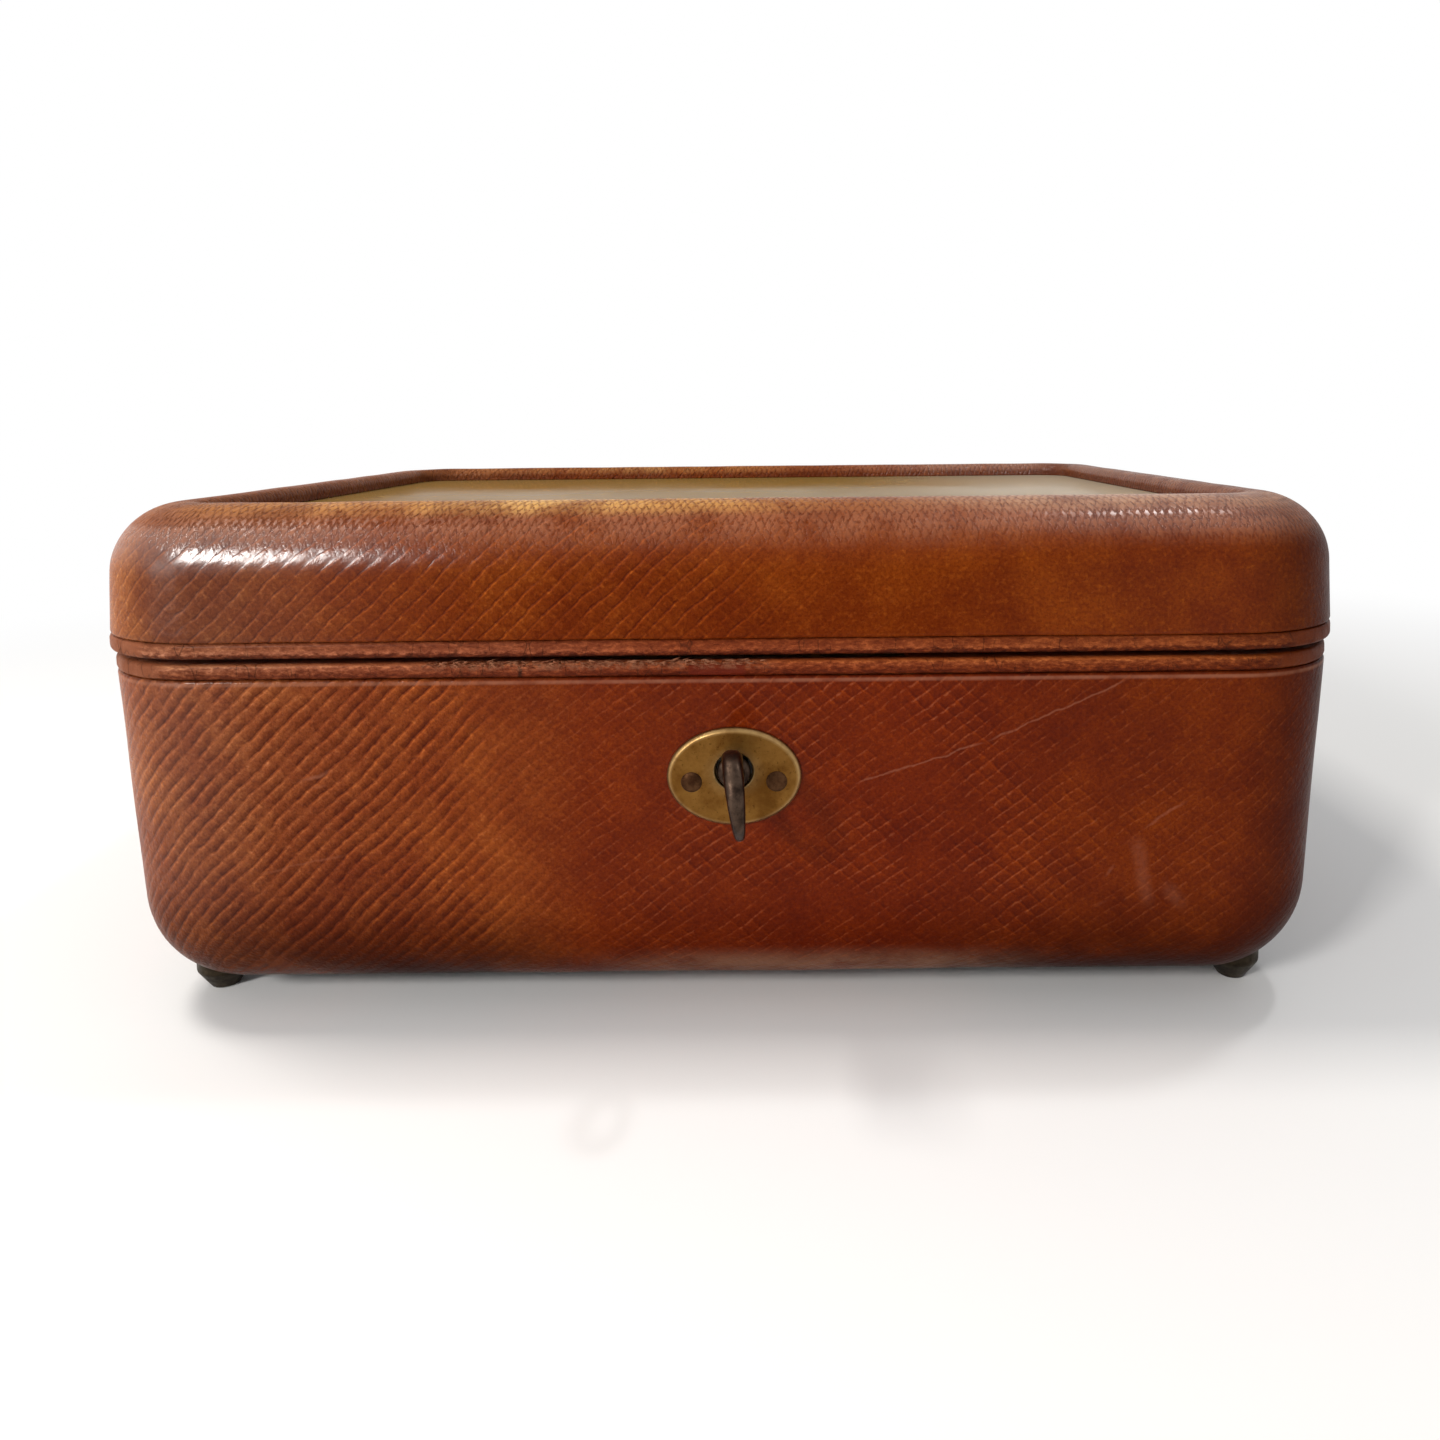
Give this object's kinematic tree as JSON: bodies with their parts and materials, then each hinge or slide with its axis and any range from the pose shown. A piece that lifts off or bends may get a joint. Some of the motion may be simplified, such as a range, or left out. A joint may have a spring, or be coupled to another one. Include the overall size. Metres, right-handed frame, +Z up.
{
  "type": "leather jewellery case",
  "caption": "Rectangular leather-covered wooden jewellery case with rounded edges, a glass pane in the hinged lid, a box lock with its key and a lined lift-out tray with ring rolls.",
  "frame": {"origin": "middle of the four feet, on the surface that the case stands on", "axes": "+Z up, the front with the lock faces -Y, +X to the right of someone who looks at the front"},
  "size_m": [0.254, 0.2074, 0.1059],
  "materials": {
    "leather": "polished straight-grain calf, worn",
    "rim_leather": "polished calf strip, cracked with wear",
    "wood": "plain sawn",
    "velvet": "short-pile velvet",
    "ring_roll_velvet": "short-pile velvet over wadding",
    "tray_leather": "thin calf over card",
    "underside_cloth": "bookbinder's cloth",
    "glass": "clear, polished",
    "brass": "aged, rubbed bright on edges",
    "pin_heads": "tarnished",
    "key_steel": "dark, handled",
    "lock_steel": "plain",
    "screw_steel": "plain",
    "foot_bronze": "dark bronze, tarnished"
  },
  "bodies": {
    "base": {"base_board_back": "wood", "base_board_bottom": "wood", "base_board_front": "wood", "base_board_left": "wood", "base_board_right": "wood", "base_hinge_screws": "screw_steel", "base_leather": "leather", "base_lining": "velvet", "base_rim_cap": "rim_leather", "drill_pin": "lock_steel", "escutcheon": "brass", "escutcheon_pins": "pin_heads", "foot_back_left": "foot_bronze", "foot_back_right": "foot_bronze", "foot_front_left": "foot_bronze", "foot_front_right": "foot_bronze", "hinge_base_leaf_left": "brass", "hinge_base_leaf_right": "brass", "hinge_pin_left": "screw_steel", "hinge_pin_right": "screw_steel", "lock_cap": "lock_steel", "lock_case": "lock_steel", "lock_screws": "screw_steel", "lock_selvedge": "brass", "ring_roll_1": "ring_roll_velvet", "ring_roll_2": "ring_roll_velvet", "ring_roll_3": "ring_roll_velvet", "ring_roll_4": "ring_roll_velvet", "ring_roll_5": "ring_roll_velvet", "tray_cross_left": "velvet", "tray_cross_middle": "velvet", "tray_cross_right": "velvet", "tray_divider_left": "velvet", "tray_divider_right": "velvet", "tray_lining": "velvet", "tray_shell": "tray_leather", "tray_support_left": "velvet", "tray_support_right": "velvet", "underside_cover": "underside_cloth"},
    "lid": {"glass_pane": "glass", "glazing_bead_back": "wood", "glazing_bead_front": "wood", "glazing_bead_left": "wood", "glazing_bead_right": "wood", "glazing_pins": "screw_steel", "hinge_lid_leaf_left": "brass", "hinge_lid_leaf_right": "brass", "lid_hinge_screws": "screw_steel", "lid_leather": "leather", "lid_lining": "velvet", "lid_rail_back": "wood", "lid_rail_front": "wood", "lid_rail_left": "wood", "lid_rail_right": "wood", "lid_rim_cap": "rim_leather", "strike_plate": "brass", "strike_screws": "screw_steel"},
    "key": {"key": "key_steel"},
    "bolt": {"lock_bolt": "lock_steel"}
  },
  "joints": [
    {"name": "lid_hinge", "type": "hinge", "parent": "base", "child": "lid", "pos_m": [0, 0.0926, 0.07655], "axis": [-1, 0, 0], "range_deg": [0, 95]},
    {"name": "key_turn", "type": "hinge", "parent": "base", "child": "key", "pos_m": [0.003, -0.09, 0.0544], "axis": [0, 1, 0], "range_deg": [0, 60]},
    {"name": "bolt_slide", "type": "slide", "parent": "base", "child": "bolt", "axis": [-1, 0, 0], "range_m": [0, 0.00605]}
  ],
  "couplings": [
    {"joint": "key_turn", "follows": "bolt_slide", "rad_per_m": 172.8}
  ]
}
